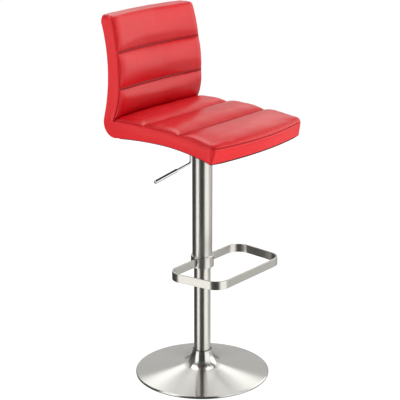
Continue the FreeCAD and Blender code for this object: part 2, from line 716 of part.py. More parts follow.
def upholstery():
    """Name to solid for every layer of the padded seat and back."""
    outline, skin, plywood, cushion, junction = side_faces()
    crease = (junction.y + CREASE_RUN[0], junction.z + CREASE_RUN[1])
    split = [crease, (junction.y, junction.z), SPLIT_FOOT, (SPLIT_FOOT[0], 690)]
    back_zone = quad(split + [(300, 690), (300, 1150), (crease[0], 1150)])
    seat_zone = quad(split + [(-300, 690), (-300, crease[1])])

    def back_part(face, slab):
        return swept(face.common(back_zone)).common(slab)

    def seat_part(face, slab, front):
        return swept(face.common(seat_zone)).common(slab).common(front)

    pocket_x = PLATE_WIDTH / 2 + POCKET_GAP
    pocket_y = PLATE_LENGTH / 2 + POCKET_GAP
    pocket = box((-pocket_x, pocket_x), (-pocket_y, pocket_y), (700, PLATE_BOTTOM + PLATE_THICK))
    within = seat_slab(BAND)
    behind = front_slab(BAND)
    pieces = {
        "back_cushion": back_part(cushion, back_slab(BAND)),
        "back_panel": back_part(skin, back_slab(BAND)),
        "seat_cushion": seat_part(cushion, within, behind),
        "bottom_cover": seat_part(skin, within, behind).cut(pocket),
        "front_band": seat_part(outline, within, front_slab(0.0, BAND)),
    }
    shell = seat_part(plywood, within, behind).fuse(back_part(plywood, back_slab(BAND)))
    shell = shell.cut(pocket)
    for place in seat_screw_places():
        shell = shell.cut(disc(TEE_NUT_RADIUS, 760, 800, place))
    pieces["seat_shell"] = shell
    band = seat_part(outline, seat_slab(0.0, BAND), front_slab(0.0))
    band = band.fuse(back_part(outline, back_slab(0.0, BAND)))
    pieces["side_band_right"] = band
    pieces["side_band_left"] = band.mirror(Vector(0, 0, 0), Vector(1, 0, 0))
    return pieces


def seat_screws():
    screws = []
    for place in seat_screw_places():
        head = hexagon(BOLT_HEAD_FLATS, PLATE_BOTTOM - BOLT_HEAD_HEIGHT, PLATE_BOTTOM, place)
        shank = disc(BOLT_RADIUS, PLATE_BOTTOM, PLATE_BOTTOM + SEAT_SCREW_LENGTH, place)
        screws.append(head.fuse(shank))
    return Part.makeCompound(screws)


def tee_nuts():
    low = PLATE_BOTTOM + PLATE_THICK + BOLT_CLEARANCE
    return Part.makeCompound([tube(TEE_NUT_RADIUS, BOLT_RADIUS, low, low + TEE_NUT_LENGTH, place)
                              for place in seat_screw_places()])


PLAIN_PARTS = [base_cover, floor_ring, base_weight, column_foot, column_bolts, column_tube, neck_ring,
               guide_bush, race_lower, race_upper, thrust_balls, bumper, piston_rod, piston, rod_washer,
               rod_clip, gas_cylinder, cylinder_guide, release_pin, sleeve_tube, sleeve_guide,
               footrest_collar, collar_screws, footrest_bar, lever_rod, lever_grip, lever_pin,
               seat_plate, mechanism_housing, mechanism_hub, seat_screws, tee_nuts]

os.makedirs(PARTS_DIR, exist_ok=True)
for make in PLAIN_PARTS:
    export(make.__name__, make())
for part_name, solid_part in upholstery().items():
    export(part_name, solid_part)
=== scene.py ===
import json
import math

import bpy
import numpy as np
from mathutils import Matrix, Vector, noise


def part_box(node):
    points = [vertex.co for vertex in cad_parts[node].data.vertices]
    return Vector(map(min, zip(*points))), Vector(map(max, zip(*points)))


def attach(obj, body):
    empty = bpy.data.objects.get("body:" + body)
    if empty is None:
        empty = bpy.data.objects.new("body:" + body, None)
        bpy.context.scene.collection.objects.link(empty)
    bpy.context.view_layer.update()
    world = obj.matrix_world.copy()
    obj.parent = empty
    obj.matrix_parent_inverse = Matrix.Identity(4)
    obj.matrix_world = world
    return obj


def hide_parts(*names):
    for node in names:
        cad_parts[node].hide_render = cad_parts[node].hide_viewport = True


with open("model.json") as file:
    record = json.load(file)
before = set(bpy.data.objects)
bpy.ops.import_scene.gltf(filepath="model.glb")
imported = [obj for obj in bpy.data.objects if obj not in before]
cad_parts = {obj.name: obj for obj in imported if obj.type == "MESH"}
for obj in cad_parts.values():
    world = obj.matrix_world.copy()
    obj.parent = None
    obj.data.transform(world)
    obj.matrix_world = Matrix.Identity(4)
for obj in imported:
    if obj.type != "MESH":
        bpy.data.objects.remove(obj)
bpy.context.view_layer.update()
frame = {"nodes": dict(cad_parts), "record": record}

node_box = {name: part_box(name) for name in frame["nodes"]}

# ---- side outline of the upholstery, as (y, z); curves are (radius, turn in degrees) ------
FRONT_START = (0.1845, 1.0970)
FRONT_HEADING = -107.5
FRONT_CURVES = [(0.658, 17.5), (0.225, 25.0)]
SEAT_HEADING = 177.6
SEAT_CURVES = [(2.000, 12.0)]
REAR_START = (0.2220, 1.0850)
REAR_HEADING = -109.4
REAR_CURVES = [(0.475, 34.3), (0.041, -111.9), (1.414, 7.0), (0.745, 15.3)]
TOP_HEIGHT = 1.105
CREST_SHIFT = 0.002

# ---- plan sizes -----------------------------------------------------------------------------
FRONT_HALF_WIDTH = 0.215
JUNCTION_HALF_WIDTH = 0.196
TOP_HALF_WIDTH = 0.1855
SEAT_FRONT_Y = -0.197
SEAT_FRONT_FOOT_Z = 0.737
SEAT_TOP_EDGE_Z = 0.783
SEAT_REAR_Y = 0.178
SEAT_HEIGHT = 0.804
FRONT_LEAN = 0.298           # the front edge's foot stands back, per unit of height
WIDTH_BLEND_FOOT = 0.785     # the seat's plan turns into the back's over this height
WIDTH_BLEND_HEIGHT = 0.040
FRONT_BOW = 0.021            # the front edge's middle stands forward
BACK_BOW_TOP = 0.018         # the back's middle stands back
BACK_BOW_FOOT = 0.010
REAR_BOW = 0.018
MID_BACK_HEIGHTS = (0.870, 0.860)      # matching places half way up the back, front and rear
CORNER_SPREAD = 0.012        # the crease's share of the side panel, either way along the front line
PAST_CORNER = (0.090, 0.060)  # matching places on the seat, past the crease and the rear corner
CREST_START = 0.0022         # the side panel starts this far down from the crest, where it is narrow
INSIDE = (0.0, 0.120, 0.820)  # a point that all panels face away from

# ---- sewing ---------------------------------------------------------------------------------
BACK_SEAM_HEIGHTS = (1.002, 0.898)
SEAT_SEAM_YS = (0.0545, -0.0775)
SEAM_STEPS = (0.0, 0.0011, 0.0026, 0.0047, 0.0076, 0.0114)     # rows of points beside a seam
CHANNEL_STEP = 0.0048        # rows of points elsewhere
PAD_DEPTH = 0.014            # hidden thickness of a pad under its seams
PAD_BACK_SHARE = 0.96        # size of a pad's hidden back against its face
BACK_CROWN = 0.0130          # how far the channels stand out, and how far off a seam they reach it
BACK_CROWN_REACH = 0.040
BACK_SIDE_REACH = 0.026
SEAT_CROWN = 0.0150
SEAT_CROWN_REACH = 0.048
SEAT_FRONT_REACH = 0.020     # at the front edge
SEAT_SIDE_REACH = 0.025
CLOTH_PRESSURE = 5.0
CLOTH_MOST = 0.006           # no point of a pad's cover is blown out further
SEAM_SINK = 0.0022           # how deep a seam lies in the pad, half as deep at the sides
SEAM_SINK_REACH = 0.0016
PUCKER = 0.00045             # gathers beside the seams, across them
SEAM_PUCKER_AT, SEAM_PUCKER_REACH = 0.006, 0.006
SIDE_PUCKER_AT, SIDE_PUCKER_REACH = 0.008, 0.007
SEAM_PUCKER_SCALE = (85, 12, 12)
SIDE_PUCKER_SCALE = (14, 95, 95)
SLACK = 0.0011               # the cover's unevenness away from the seams
SLACK_START, SLACK_GROWTH = 0.004, 0.020
SLACK_SCALE = 17.0
CREASE_WINDOW = 0.05         # the pads are parted this near to the crease
CREASE_CLEAR = 0.0002
TUCK = 0.0050                # how far a panel's edge turns in at a seam
PANEL_CROWN = 0.0012
PANEL_COLUMNS = 12
COVER_THICKNESS = 0.0012
EDGE_ROUND = 0.0024
SEAT_CORNER_TOP = 0.025      # rounding of the seat's front corners at the top seam
SEAT_CORNER_FOOT = 0.006
ON_SEAT_HEIGHT = 0.834       # below this the seat's corners are rounded, above it the back's
BACK_CORNER = 0.014          # rounding of the back's top corners
TOPSTITCH = 0.0052           # topstitching runs this far inside a panel's front edge
TOPSTITCH_DIP = 0.0006
DIP_HALF_WIDTH = 0.0014
DIP_LIP = 0.0001
BORDER_SHADE = 0.0009        # a pad's border gets painted seam shade as if it lay this far off a seam
STITCH_SHADE = 0.0008        # a row of stitches gets painted seam shade as if it lay this far off a seam
WELT_RADIUS = 0.0013
WELT_SINK = 0.0004           # how far a welt's middle lies inside the corner
WELT_SIDES = 8
WELT_RINGS = 24
STITCH_LENGTH = 0.0042
STITCH_PITCH = 0.0060
STITCH_RADIUS = 0.00050
STITCH_SIDES = 6
# places along a stitch: share of its length, how deep it lies and how thick it is, in radii
STITCH_SHAPE = ((0, 1.2, 0.5), (0.18, 0.1, 1.0), (0.82, 0.1, 1.0), (1, 1.2, 0.5))
FRONT_END_INSET = 0.0004     # the front panel stops this far inside the corners

# ---- under cover ----------------------------------------------------------------------------
REAR_PANEL_END_Y = 0.150
UNDERSIDE_TOP_Z = 0.770      # the rear outline is the seat's underside from here down
REAR_CORNER_Z = 0.790        # the rear panel goes round the corner below this height
COVER_DROP = 0.0016          # the under cover, below the outline of the seat's underside
COVER_FRONT_GAP = 0.0015
OPENING_ROOM = 0.0015        # between the mounting plate and the opening in the under cover
OPENING_SINK = 0.0005        # the opening's sides stop this far under the plate's top
REAR_STEPS, OPENING_STEPS, FRONT_STEPS = 14, 25, 22       # rows of points, from rear to front
OPENING_COLUMNS, FLANK_COLUMNS = 24, 14


# ---- lines in side view ---------------------------------------------------------------------
class Outline:
    """A line in side view that can be read at any distance along it."""

    def __init__(self, points):
        self.points = np.array(points, float)[:, :2]
        steps = np.linalg.norm(np.diff(self.points, axis=0), axis=1)
        self.along = np.concatenate([[0.0], np.cumsum(steps)])
        self.length = self.along[-1]

    def at(self, distance):
        return np.stack([np.interp(distance, self.along, self.points[:, k]) for k in (0, 1)], -1)

    def where(self, column, value):
        """Distance at which the line first passes a value of y (column 0) or z (column 1)."""
        gap = self.points[:, column] - value
        k = int(np.flatnonzero(gap[:-1] * gap[1:] <= 0)[0])
        share = gap[k] / (gap[k] - gap[k + 1])
        return self.along[k] + share * (self.along[k + 1] - self.along[k])


def arc_points(start, heading, curves, step=0.001):
    """Points along tangent arcs; a positive turn bends to the left."""
    y, z = start
    angle = math.radians(heading)
    rows = [(y, z)]
    for radius, turn in curves:
        side = math.copysign(1.0, turn)
        centre = (y - side * radius * math.sin(angle), z + side * radius * math.cos(angle))
        count = max(2, round(radius * abs(math.radians(turn)) / step))
        for k in range(1, count + 1):
            swept = angle + math.radians(turn) * k / count
            rows.append((centre[0] + side * radius * math.sin(swept),
                         centre[1] - side * radius * math.cos(swept)))
        y, z = rows[-1]
        angle += math.radians(turn)
    return rows


def arc_through(a, b, c, count=48):
    """Points of the round arc from a through b to c."""
    a, b, c = (np.array(p, float) for p in (a, b, c))
    u, v = b - a, c - a
    cross = 2 * (u[0] * v[1] - u[1] * v[0])
    centre = a + np.array([v[1] * (u @ u) - u[1] * (v @ v), u[0] * (v @ v) - v[0] * (u @ u)]) / cross
    angles = [math.atan2(*(p - centre)[::-1]) for p in (a, b, c)]
    first, last = angles[0], angles[2]
    turn = (last - first) % (2 * math.pi)
    if (angles[1] - first) % (2 * math.pi) > turn:
        turn -= 2 * math.pi
    radius = np.linalg.norm(a - centre)
    swept = first + turn * np.linspace(0, 1, count + 1)
    return [tuple(centre + radius * np.array([math.cos(s), math.sin(s)])) for s in swept]


front_points = arc_points(FRONT_START, FRONT_HEADING, FRONT_CURVES)
junction = front_points[-1]
seat_points = arc_points(junction, SEAT_HEADING, SEAT_CURVES)
rear_points = arc_points(REAR_START, REAR_HEADING, REAR_CURVES)
crest = ((FRONT_START[0] + REAR_START[0]) / 2 + CREST_SHIFT, TOP_HEIGHT)
top_points = arc_through(REAR_START, crest, FRONT_START)
seat_line = Outline(seat_points)


def back_half_width(z):
    slope = (JUNCTION_HALF_WIDTH - TOP_HALF_WIDTH) / (TOP_HEIGHT - SEAT_HEIGHT)
    return JUNCTION_HALF_WIDTH + slope * (SEAT_HEIGHT - z)


def seat_half_width(y):
    slope = (FRONT_HALF_WIDTH - JUNCTION_HALF_WIDTH) / (SEAT_REAR_Y - SEAT_FRONT_Y)
    return FRONT_HALF_WIDTH - slope * (y - SEAT_FRONT_Y)


def half_width(y, z):
    share = np.clip((z - WIDTH_BLEND_FOOT) / WIDTH_BLEND_HEIGHT, 0, 1)
    return share * back_half_width(z) + (1 - share) * seat_half_width(y)


def front_y(x, z):
    """The seat's front face, bowed in plan and leaning."""
    bow = FRONT_BOW * (1 - (x / FRONT_HALF_WIDTH) ** 2)
    return SEAT_FRONT_Y - bow - (z - SEAT_FRONT_FOOT_Z) * FRONT_LEAN


def seat_line_z(y):
    """Height of the seat's top seams."""
    return np.interp(-y, -seat_line.points[:, 0], seat_line.points[:, 1])


# lines of the side panel, from the crest: down the front and along the seat, and round the rear
half_top = len(top_points) // 2
back_line = Outline(top_points + front_points[1:])
front_corner_y = float(front_y(FRONT_HALF_WIDTH, SEAT_TOP_EDGE_Z))
seat_cut = seat_points[:len([p for p in seat_points if p[0] > front_corner_y]) + 1]
front_side = Outline(top_points[half_top:] + front_points[1:] + seat_cut[1:])
corner_at = Outline(top_points[half_top:] + front_points[1:]).length
foot_cut = [p for p in rear_points if p[0] > SEAT_FRONT_Y]
rear_side = Outline(top_points[half_top::-1] + rear_points[1:len(foot_cut) + 1])
rear_lead = Outline(top_points[half_top::-1]).length
rear_foot_z = rear_points[len(foot_cut)][1]


# ---- mesh helpers ---------------------------------------------------------------------------
def mesh_piece(name, points, faces):
    mesh = bpy.data.meshes.new(name)
    mesh.from_pydata([tuple(p) for p in points], [], faces)
    mesh.update()
    mesh.polygons.foreach_set("use_smooth", [True] * len(mesh.polygons))
    piece = bpy.data.objects.new(name, mesh)
    bpy.context.scene.collection.objects.link(piece)
    return piece


def grid_faces(rows, columns, first=0, flip=False):
    faces = []
    for r in range(rows - 1):
        for c in range(columns - 1):
            a = first + r * columns + c
            quad = (a, a + 1, a + columns + 1, a + columns)
            faces.append(quad[::-1] if flip else quad)
    return faces


def tube_faces(first, rings, sides):
    """Faces of a run of rings of points, closed at both ends."""
    faces = []
    for ring in range(rings - 1):
        for k in range(sides):
            a = first + ring * sides + k
            b = first + ring * sides + (k + 1) % sides
            faces.append((a, b, b + sides, a + sides))
    last = first + (rings - 1) * sides
    faces.append(tuple(range(first, first + sides))[::-1])
    faces.append(tuple(range(last, last + sides)))
    return faces


def grid_normals(points):
    """Unit normals of a grid of points, shaped (rows, columns, 3)."""
    down = np.gradient(points, axis=0)
    across = np.gradient(points, axis=1)
    normals = np.cross(across, down)
    return normals / np.linalg.norm(normals, axis=2, keepdims=True)


def applied(piece):
    """Bakes the modifiers of a piece into its mesh."""
    graph = bpy.context.evaluated_depsgraph_get()
    mesh = bpy.data.meshes.new_from_object(piece.evaluated_get(graph))
    piece.modifiers.clear()
    piece.data = mesh
    return piece


def refined(piece):
    divide = piece.modifiers.new("Finer", "SUBSURF")
    divide.levels = 1
    divide.render_levels = 1
    return applied(piece)


def facing(piece, inside):
    """Turns an open sheet's faces away from a point inside the object."""
    mesh = piece.data
    outward = sum((f.center - Vector(inside)).normalized().dot(f.normal) for f in mesh.polygons)
    if outward < 0:
        mesh.flip_normals()
    return piece


def thickened(piece, thickness):
    """Closed sheet: an open grid gets a back, on the side away from its normals."""
    solid = piece.modifiers.new("Thickness", "SOLIDIFY")
    solid.thickness = thickness
    solid.offset = -1.0
    return applied(piece)


# ---- padded channels ------------------------------------------------------------------------
def spaced(length):
    """Distances across a channel, close together beside its two seams."""
    edge = list(SEAM_STEPS)
    inner = length - 2 * edge[-1]
    count = max(2, round(inner / CHANNEL_STEP))
    middle = [edge[-1] + inner * k / count for k in range(1, count)]
    return edge + middle + [length - d for d in reversed(edge)]


def rise(distance, reach):
    """Round shoulder: 0 on a seam, 1 from reach on."""
    share = 1 - np.clip(distance / reach, 0, 1)
    return np.sqrt(1 - share ** 2)


def note(piece, key, values):
    """Stores one number for each point of a piece."""
    layer = piece.data.attributes.new(key, "FLOAT", "POINT")
    layer.data.foreach_set("value", np.asarray(values, np.float32).ravel())


def note_gaps(piece, gaps):
    """Stores each point's distance to the nearest seam, for the shade painted into the leather at its
    seams.
    """
    note(piece, "gap", gaps)


def pad_piece(name, base, normals, lift, seam_gap, side_gap, pins):
    """Pad whose top is base + lift along the normals, with a hidden back, pinned along its seams."""
    rows, columns = base.shape[:2]
    top = base + normals * lift[..., None]
    middle = base.mean((0, 1))
    back = middle + (base - normals * PAD_DEPTH - middle) * PAD_BACK_SHARE
    count = rows * columns
    faces = grid_faces(rows, columns, 0, True) + grid_faces(rows, columns, count)
    border = [(0, c) for c in range(columns)] + [(r, columns - 1) for r in range(1, rows)]
    border += [(rows - 1, c) for c in range(columns - 2, -1, -1)]
    border += [(r, 0) for r in range(rows - 2, 0, -1)]
    ids = [r * columns + c for r, c in border]
    for a, b in zip(ids, ids[1:] + ids[:1]):
        faces.append((a, b, b + count, a + count))
    piece = mesh_piece(name, np.concatenate([top.reshape(-1, 3), back.reshape(-1, 3)]), faces)
    # the hidden back counts as far from any seam, so it isn't sewn, and as down in a seam, so it gets
    # the full painted seam shade
    for key, values in (("seam_gap", seam_gap), ("side_gap", side_gap)):
        note(piece, key, np.concatenate([values.ravel(), np.full(count, 1.0)]))
    # painted shade along the seams and, a little lighter, along the pad's border
    nearest = np.minimum(seam_gap, side_gap + BORDER_SHADE)
    note_gaps(piece, np.concatenate([nearest.ravel(), np.zeros(count)]))
    piece["grid"] = (rows, columns)
    group = piece.vertex_groups.new(name="pin")
    held = np.concatenate([pins.ravel(), np.ones(count, bool)])
    group.add([int(k) for k in np.flatnonzero(held)], 1.0, "REPLACE")
    return piece


def settled(move, loose, passes=10):
    """Evens out small creases in a grid of moves; points that are not loose stay put."""
    for _ in range(passes):
        padded = np.pad(move, ((1, 1), (1, 1), (0, 0)), "edge")
        around = padded[:-2, 1:-1] + padded[2:, 1:-1] + padded[1:-1, :-2] + padded[1:-1, 2:]
        move = np.where(loose, 0.5 * move + 0.125 * around, move)
    return move


def inflate(piece, frames=20):
    """Cloth under pressure, held along its seams."""
    count = len(piece.data.vertices)
    before = np.empty(count * 3, np.float32)
    piece.data.vertices.foreach_get("co", before)
    cloth = piece.modifiers.new("Cloth", "CLOTH")
    settings = cloth.settings
    settings.quality = 6
    settings.mass = 0.25
    settings.tension_stiffness = 25
    settings.compression_stiffness = 25
    settings.shear_stiffness = 12
    settings.bending_stiffness = 2.0
    settings.use_pressure = True
    settings.uniform_pressure_force = CLOTH_PRESSURE
    settings.shrink_min = 0.0
    settings.vertex_group_mass = "pin"
    settings.effector_weights.gravity = 0.0
    cloth.point_cache.frame_start = 1
    cloth.point_cache.frame_end = frames
    scene = bpy.context.scene
    for number in range(1, frames + 1):
        scene.frame_set(number)
    applied(piece)
    scene.frame_set(1)
    after = np.empty(count * 3, np.float32)
    piece.data.vertices.foreach_get("co", after)
    move = (after - before).reshape(-1, 3)
    size = np.linalg.norm(move, axis=1, keepdims=True)
    move *= CLOTH_MOST * np.tanh(size / CLOTH_MOST) / np.maximum(size, 1e-9)
    rows, columns = piece["grid"]
    top = rows * columns
    loose = np.ones(count, bool)
    loose[[v.index for v in piece.data.vertices if v.groups]] = False
    even = settled(move[:top].reshape(rows, columns, 3), loose[:top].reshape(rows, columns, 1))
    move[:top] = even.reshape(-1, 3)
    piece.data.vertices.foreach_set("co", (before.reshape(-1, 3) + move).ravel())
    piece.data.update()


def noise_at(points, scale):
    """Smooth noise at every point; scale is a number for each of the three directions."""
    return np.array([noise.noise(Vector((p[0] * scale[0], p[1] * scale[1], p[2] * scale[2])))
                     for p in points])


def bell(distance, middle, reach):
    return np.exp(-((distance - middle) / reach) ** 2)


def sewn(piece):
    """Sinks the seams into a finished pad, gathers the cover beside them and lets it lie slack."""
    mesh = piece.data
    count = len(mesh.vertices)
    seam = np.empty(count, np.float32)
    side = np.empty(count, np.float32)
    mesh.attributes["seam_gap"].data.foreach_get("value", seam)
    mesh.attributes["side_gap"].data.foreach_get("value", side)
    normals = np.array([v.normal for v in mesh.vertices])
    points = np.array([v.co for v in mesh.vertices])
    sink = bell(seam, 0.0, SEAM_SINK_REACH) + 0.5 * bell(side, 0.0, SEAM_SINK_REACH)
    gather = noise_at(points, SEAM_PUCKER_SCALE) * bell(seam, SEAM_PUCKER_AT, SEAM_PUCKER_REACH)
    gather += noise_at(points, SIDE_PUCKER_SCALE) * bell(side, SIDE_PUCKER_AT, SIDE_PUCKER_REACH)
    open_share = np.clip((np.minimum(seam, side) - SLACK_START) / SLACK_GROWTH, 0, 1)
    slack = noise_at(points, (SLACK_SCALE, SLACK_SCALE, SLACK_SCALE)) * open_share
    move = PUCKER * gather + SLACK * slack - SEAM_SINK * sink
    points += normals * move[:, None]
    mesh.vertices.foreach_set("co", points.ravel())
    mesh.update()


def channel_rows(seam_distances):
    """Distances along an outline for rows of points, each row's gap to its nearest seam, seam flags."""
    places, gaps, flags = [], [], []
    for a, b in zip(seam_distances, seam_distances[1:]):
        for d in spaced(b - a)[:-1]:
            places.append(a + d)
            gaps.append(min(d, b - a - d))
            flags.append(d == 0.0)
    return np.array(places + [seam_distances[-1]]), np.array(gaps + [0.0]), np.array(flags + [True])


def column_shares(width):
    """Places across a pad, from -1 to 1, and their distance from the nearer side."""
    across = np.array(spaced(2 * width))
    return across / width - 1, np.minimum(across, 2 * width - across)


def back_base(along, shares):
    """Grid of points on the back's sewing surface, for distances along its front outline."""
    yz = back_line.at(along)
    y = yz[:, 0][:, None]
    z = yz[:, 1][:, None]
    share = np.clip((z - SEAT_HEIGHT) / (TOP_HEIGHT - SEAT_HEIGHT), 0, 1)
    bow = BACK_BOW_FOOT + (BACK_BOW_TOP - BACK_BOW_FOOT) * share
    x = shares[None, :] * (back_half_width(z) - EDGE_ROUND)
    middle = 1 - shares[None, :] ** 2
    return np.stack([x + 0 * y, y + bow * middle, z + 0 * x], -1)


def pad_lift(row_gap, side_gap, height, row_reach, side_reach):
    """Height over the sewing surface; row_reach may differ from row to row."""
    return height * rise(row_gap, row_reach)[:, None] * rise(side_gap[None, :], side_reach)


def make_back_pad():
    seams = [0.0] + [back_line.where(1, z) for z in BACK_SEAM_HEIGHTS]
    seams.append(back_line.length)
    # the outline starts at the rear top seam, so it passes each height once, on its front side
    along, gap, on_seam = channel_rows(seams)
    shares, side = column_shares(JUNCTION_HALF_WIDTH)
    base = back_base(along, shares)
    normals = -grid_normals(base)
    lift = pad_lift(gap, side, BACK_CROWN, BACK_CROWN_REACH, BACK_SIDE_REACH)
    pins = on_seam[:, None] | (side <= 0)[None, :]
    seam_gap = np.repeat(gap[:, None], len(side), 1)
    side_gap = np.repeat(side[None, :], len(gap), 0)
    return pad_piece("back_pad", base, normals, lift, seam_gap, side_gap, pins)


def seat_base(rows, shares):
    """Grid of points on the seat's sewing surface; rows are (channel, share across it)."""
    grid = []
    for channel, share in rows:
        x = shares * JUNCTION_HALF_WIDTH
        rear = junction[0] + BACK_BOW_FOOT * (1 - shares ** 2)
        front = front_y(shares * FRONT_HALF_WIDTH, SEAT_TOP_EDGE_Z)
        lines = [rear, 0 * x + SEAT_SEAM_YS[0], 0 * x + SEAT_SEAM_YS[1], front]
        y = lines[channel] + (lines[channel + 1] - lines[channel]) * share
        x = shares * (seat_half_width(y) - EDGE_ROUND)
        z = seat_line_z(y)
        grid.append(np.stack([x, y, z], -1))
    return np.array(grid)


def make_seat_pad():
    ends = [junction[0], *SEAT_SEAM_YS, float(front_y(FRONT_HALF_WIDTH, SEAT_TOP_EDGE_Z))]
    rows, gap, on_seam = [], [], []
    for channel, (a, b) in enumerate(zip(ends, ends[1:])):
        length = a - b
        for d in spaced(length)[:-1]:
            rows.append((channel, d / length))
            gap.append(min(d, length - d))
            on_seam.append(d == 0.0)
    last_channel = len(SEAT_SEAM_YS)
    rows.append((last_channel, 1.0))
    gap = np.array(gap + [0.0])
    on_seam = np.array(on_seam + [True])
    shares, side = column_shares(JUNCTION_HALF_WIDTH)
    base = seat_base(rows, shares)
    normals = -grid_normals(base)
    at_front = np.array([channel == last_channel and share > 0.5 for channel, share in rows])
    reach = np.where(at_front, SEAT_FRONT_REACH, SEAT_CROWN_REACH)
    lift = pad_lift(gap, side, SEAT_CROWN, reach, SEAT_SIDE_REACH)
    pins = on_seam[:, None] | (side <= 0)[None, :]
    seam_gap = np.repeat(gap[:, None], len(side), 1)
    side_gap = np.repeat(side[None, :], len(gap), 0)
    return pad_piece("seat_pad", base, normals, lift, seam_gap, side_gap, pins)


def part_at_crease(piece, above):
    """Keeps a pad on its own side of the plane that halves the crease between seat and back."""
    heading = math.radians(FRONT_HEADING + sum(t for _, t in FRONT_CURVES) + 180)
    middle = (heading + math.radians(SEAT_HEADING)) / 2
    way = (math.cos(middle), math.sin(middle))
    side = -1.0 if above else 1.0
    for vertex in piece.data.vertices:
        share = vertex.co.x / JUNCTION_HALF_WIDTH
        dy = vertex.co.y - junction[0] - BACK_BOW_FOOT * (1 - share ** 2)
        dz = vertex.co.z - junction[1]
        near = abs(dy) < CREASE_WINDOW and abs(dz) < CREASE_WINDOW
        if near and way[0] * dy + way[1] * dz > 0:
            across = side * (way[0] * dz - way[1] * dy)
            if across < CREASE_CLEAR:
                vertex.co.y += side * (CREASE_CLEAR - across) * -way[1]
                vertex.co.z += side * (CREASE_CLEAR - across) * way[0]
    piece.data.update()


# ---- flat sewn panels -----------------------------------------------------------------------
def edge_profile(width):
    """Cross-section of a panel: (distance across, height), with both edges turned in.

    The row of topstitching along the first edge pulls the cover down a little."""
    turn = [(0.0, -TUCK), (0.0, -EDGE_ROUND), (EDGE_ROUND * 0.3, -EDGE_ROUND * 0.3),
            (EDGE_ROUND, 0.0)]
    dip = [(TOPSTITCH - DIP_HALF_WIDTH, DIP_LIP), (TOPSTITCH, -TOPSTITCH_DIP),
           (TOPSTITCH + DIP_HALF_WIDTH, DIP_LIP)]
    start = dip[-1][0]
    inner = width - start - EDGE_ROUND
    flat = [(start + inner * k / PANEL_COLUMNS, PANEL_CROWN * math.sin(math.pi * k / PANEL_COLUMNS))
            for k in range(1, PANEL_COLUMNS)]
    return turn + dip + flat + [(width - d, h) for d, h in reversed(turn)]


stitch_lines = []


def topstitched(first, second, outward):
    """Notes a row of stitches beside the first edge of a panel."""
    ways = second - first
    ways /= np.linalg.norm(ways, axis=1, keepdims=True)
    stitch_lines.append((first + ways * TOPSTITCH - outward * TOPSTITCH_DIP, outward))


def panel_between(name, first, second, outward):
    """Panel between two lines of points, crowned along outward; the ends turn in too."""
    topstitched(first, second, outward)
    grid, gaps = [], []
    for a, b, out in zip(first, second, outward):
        width = np.linalg.norm(b - a)
        way = (b - a) / width
        profile = edge_profile(width)
        grid.append([a + way * d + out * h for d, h in profile])
        # painted shade: darker near the panel's edges and along its row of stitches
        gaps.append([min(d + BORDER_SHADE, width - d, abs(d - TOPSTITCH) + STITCH_SHADE)
                     for d, _ in profile])
    grid = np.array(grid)
    sunk = []
    for end, inner, out in ((grid[0], grid[1], outward[0]), (grid[-1], grid[-2], outward[-1])):
        way = (inner - end) / np.linalg.norm(inner - end, axis=1, keepdims=True)
        sunk.append((end + (way - out) * TUCK)[None])
    grid = np.concatenate([sunk[0], grid, sunk[1]])
    piece = mesh_piece(name, grid.reshape(-1, 3), grid_faces(*grid.shape[:2]))
    steps = np.linalg.norm(np.diff(first + second, axis=0), axis=1) / 2
    along = np.concatenate([[0.0], np.cumsum(steps)])
    # painted shade at the tucked-in ends of the panel too
    gaps = np.minimum(gaps, np.minimum(along, along[-1] - along)[:, None])
    note_gaps(piece, np.concatenate([0 * gaps[:1], gaps, 0 * gaps[:1]]))
    return piece


def side_lines(steps=150):
    """The front and rear lines of the L-shaped side panel, matched point by point."""
    bend = REAR_CURVES[0][0] * math.radians(REAR_CURVES[0][1])
    turn = REAR_CURVES[1][0] * math.radians(-REAR_CURVES[1][1])
    corner = rear_lead + bend
    matched = [
        (0.0, 0.0),
        (front_side.where(1, FRONT_START[1] - 0.001), rear_lead),
        (front_side.where(1, MID_BACK_HEIGHTS[0]), rear_side.where(1, MID_BACK_HEIGHTS[1])),
        (corner_at - CORNER_SPREAD, corner),
        (corner_at, corner + turn / 2),
        (corner_at + CORNER_SPREAD, corner + turn),
        (corner_at + PAST_CORNER[0], corner + turn + PAST_CORNER[1]),
        (front_side.length, rear_side.length),
    ]
    keys_front, keys_rear = np.array(matched).T
    # stations are evenly spread over the mean of both lines
    mean = (keys_front + keys_rear) / 2
    stations = np.linspace(mean[0] + CREST_START, mean[-1], steps)
    return (front_side.at(np.interp(stations, mean, keys_front)),
            rear_side.at(np.interp(stations, mean, keys_rear)))


def side_panel(name, side):
    near, far = (np.column_stack([side * half_width(yz[:, 0], yz[:, 1]), yz]) for yz in side_lines())
    return panel_between(name, near, far, np.tile([side, 0.0, 0.0], (len(near), 1)))


def front_panel():
    shares = np.linspace(-1, 1, 91)
    x = shares * (seat_half_width(front_corner_y) - FRONT_END_INSET)
    high = seat_line_z(front_y(x, SEAT_TOP_EDGE_Z))
    low = 0 * x + rear_foot_z
    first = np.column_stack([x, front_y(x, high), high])
    second = np.column_stack([x, front_y(x, low), low])
    slant = math.hypot(1.0, FRONT_LEAN)
    outward = np.tile([0.0, -1.0 / slant, -FRONT_LEAN / slant], (len(x), 1))
    return panel_between("front_panel", first, second, outward)


# ---- stitches ------------------------------------------------------------------------------
def stitch_rings(start, end, out):
    """Rings of a stitch that dives into the cover at both ends."""
    way = (end - start) / np.linalg.norm(end - start)
    across = np.cross(way, out)
    turns = [2 * math.pi * k / STITCH_SIDES for k in range(STITCH_SIDES)]
    rings = []
    for share, sink, size in STITCH_SHAPE:
        middle = start + (end - start) * share - out * STITCH_RADIUS * sink
        rings += [middle + STITCH_RADIUS * size * (math.cos(t) * across + math.sin(t) * out)
                  for t in turns]
    return rings


def read_along(distance, along, values):
    """Three numbers that vary along a line, at one distance."""
    return np.array([np.interp(distance, along, values[:, k]) for k in range(3)])


